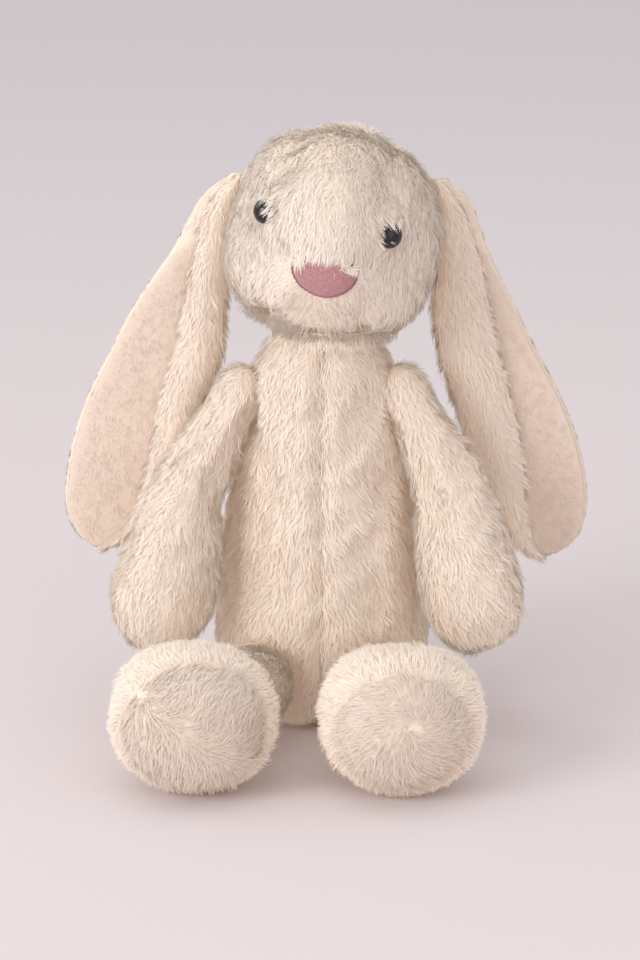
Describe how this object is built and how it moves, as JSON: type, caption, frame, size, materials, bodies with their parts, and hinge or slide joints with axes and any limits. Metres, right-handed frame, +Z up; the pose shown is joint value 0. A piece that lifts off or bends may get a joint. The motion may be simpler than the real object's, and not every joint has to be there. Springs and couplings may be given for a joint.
{
  "type": "stuffed bunny rabbit",
  "caption": "Seated cream plush rabbit with long drooping lined ears, safety eyes, a pink velour nose, and stuffed head, arms, legs and tail sewn to a stuffed torso.",
  "frame": {"origin": "middle of the flat seat under the torso", "axes": "+Z up, -Y towards the face, +X towards the right of a viewer who faces the rabbit"},
  "size_m": [0.193, 0.1846, 0.2195],
  "materials": {
    "cream_plush": "long soft pile",
    "lining_plush": "short smooth pile",
    "sole_plush": "long soft pile",
    "nose_velour": "short velvety pile",
    "eye_gloss": "gloss",
    "washer_plastic": "matt",
    "thread": "twisted thread",
    "stuffing": "loose fibre",
    "sack_cloth": "plain weave",
    "pellets": "matt",
    "label_tape": "satin weave"
  },
  "bodies": {
    "torso": {"torso_front_left": "cream_plush", "torso_front_right": "cream_plush", "torso_back_left": "cream_plush", "torso_back_right": "cream_plush", "seat_panel": "cream_plush", "seat_seam": "thread", "belly_seam": "thread", "back_seam": "thread", "torso_stuffing": "stuffing", "pellet_sack": "sack_cloth", "pellets": "pellets", "care_label": "label_tape"},
    "neck_ring": {"neck_seam": "thread"},
    "neck_pad": {"neck_stuffing": "stuffing"},
    "head": {"head_gusset": "cream_plush", "head_side_left": "cream_plush", "head_side_right": "cream_plush", "head_seam_left": "thread", "head_seam_right": "thread", "head_stuffing": "stuffing", "eye_left": "eye_gloss", "eye_right": "eye_gloss", "eye_washer_left": "washer_plastic", "eye_washer_right": "washer_plastic", "nose_patch": "nose_velour", "nose_seam": "nose_velour"},
    "tail": {"tail_seam": "thread", "tail_cover": "cream_plush", "tail_stuffing": "stuffing"},
    "ear_left_root": {"ear_left_seam": "thread"},
    "ear_left": {"ear_left_back": "cream_plush", "ear_left_lining": "lining_plush"},
    "arm_left_root": {"arm_left_seam": "thread"},
    "arm_left": {"arm_left_outer": "cream_plush", "arm_left_inner": "cream_plush", "arm_left_stuffing": "stuffing"},
    "leg_left_root": {"leg_left_seam": "thread"},
    "leg_left": {"leg_left_upper": "cream_plush", "leg_left_under": "cream_plush", "leg_left_stuffing": "stuffing", "foot_left_cover": "cream_plush", "sole_left": "sole_plush", "foot_left_stuffing": "stuffing"},
    "ear_right_root": {"ear_right_seam": "thread"},
    "ear_right": {"ear_right_back": "cream_plush", "ear_right_lining": "lining_plush"},
    "arm_right_root": {"arm_right_seam": "thread"},
    "arm_right": {"arm_right_outer": "cream_plush", "arm_right_inner": "cream_plush", "arm_right_stuffing": "stuffing"},
    "leg_right_root": {"leg_right_seam": "thread"},
    "leg_right": {"leg_right_upper": "cream_plush", "leg_right_under": "cream_plush", "leg_right_stuffing": "stuffing", "foot_right_cover": "cream_plush", "sole_right": "sole_plush", "foot_right_stuffing": "stuffing"}
  },
  "joints": [
    {"name": "neck_turn", "type": "hinge", "parent": "torso", "child": "neck_ring", "pos_m": [0.005, -0.008, 0.181], "axis": [0, 0, 1], "range_deg": [-20, 20], "stiffness_Nm_per_rad": 0.4},
    {"name": "neck_tilt", "type": "hinge", "parent": "neck_ring", "child": "neck_pad", "pos_m": [0.005, -0.008, 0.181], "axis": [0, 1, 0], "range_deg": [-12, 12], "stiffness_Nm_per_rad": 0.6},
    {"name": "neck_nod", "type": "hinge", "parent": "neck_pad", "child": "head", "pos_m": [0.005, -0.008, 0.181], "axis": [1, 0, 0], "range_deg": [-5, 18], "stiffness_Nm_per_rad": 0.6},
    {"name": "ear_left_swing", "type": "hinge", "parent": "head", "child": "ear_left_root", "pos_m": [-0.0295, 0.002, 0.2], "axis": [1, 0, 0], "range_deg": [0, 45]},
    {"name": "ear_left_lift", "type": "hinge", "parent": "ear_left_root", "child": "ear_left", "pos_m": [-0.0295, 0.002, 0.2], "axis": [0, 1, 0], "range_deg": [0, 110]},
    {"name": "arm_left_swing", "type": "hinge", "parent": "torso", "child": "arm_left_root", "pos_m": [-0.0386, -0.008, 0.114], "axis": [-1, 0, 0], "range_deg": [0, 100], "stiffness_Nm_per_rad": 0.1},
    {"name": "arm_left_lift", "type": "hinge", "parent": "arm_left_root", "child": "arm_left", "pos_m": [-0.0386, -0.008, 0.114], "axis": [0, 1, 0], "range_deg": [0, 50], "stiffness_Nm_per_rad": 0.1},
    {"name": "leg_left_raise", "type": "hinge", "parent": "torso", "child": "leg_left_root", "pos_m": [-0.025, -0.04, 0.019], "axis": [-1, 0, 0], "range_deg": [0, 35]},
    {"name": "leg_left_splay", "type": "hinge", "parent": "leg_left_root", "child": "leg_left", "pos_m": [-0.025, -0.04, 0.019], "axis": [0, 0, -1], "range_deg": [-4, 25], "stiffness_Nm_per_rad": 0.1},
    {"name": "ear_right_swing", "type": "hinge", "parent": "head", "child": "ear_right_root", "pos_m": [0.041, 0.002, 0.196], "axis": [1, 0, 0], "range_deg": [0, 45]},
    {"name": "ear_right_lift", "type": "hinge", "parent": "ear_right_root", "child": "ear_right", "pos_m": [0.041, 0.002, 0.196], "axis": [0, -1, 0], "range_deg": [0, 110]},
    {"name": "arm_right_swing", "type": "hinge", "parent": "torso", "child": "arm_right_root", "pos_m": [0.0386, -0.008, 0.114], "axis": [-1, 0, 0], "range_deg": [0, 100], "stiffness_Nm_per_rad": 0.1},
    {"name": "arm_right_lift", "type": "hinge", "parent": "arm_right_root", "child": "arm_right", "pos_m": [0.0386, -0.008, 0.114], "axis": [0, -1, 0], "range_deg": [0, 50], "stiffness_Nm_per_rad": 0.1},
    {"name": "leg_right_raise", "type": "hinge", "parent": "torso", "child": "leg_right_root", "pos_m": [0.025, -0.04, 0.019], "axis": [-1, 0, 0], "range_deg": [0, 35]},
    {"name": "leg_right_splay", "type": "hinge", "parent": "leg_right_root", "child": "leg_right", "pos_m": [0.025, -0.04, 0.019], "axis": [0, 0, 1], "range_deg": [-4, 25], "stiffness_Nm_per_rad": 0.1},
    {"name": "tail_wag", "type": "hinge", "parent": "torso", "child": "tail", "pos_m": [0, 0.04, 0.022], "axis": [0, 0, 1], "range_deg": [-20, 20], "stiffness_Nm_per_rad": 0.02}
  ]
}
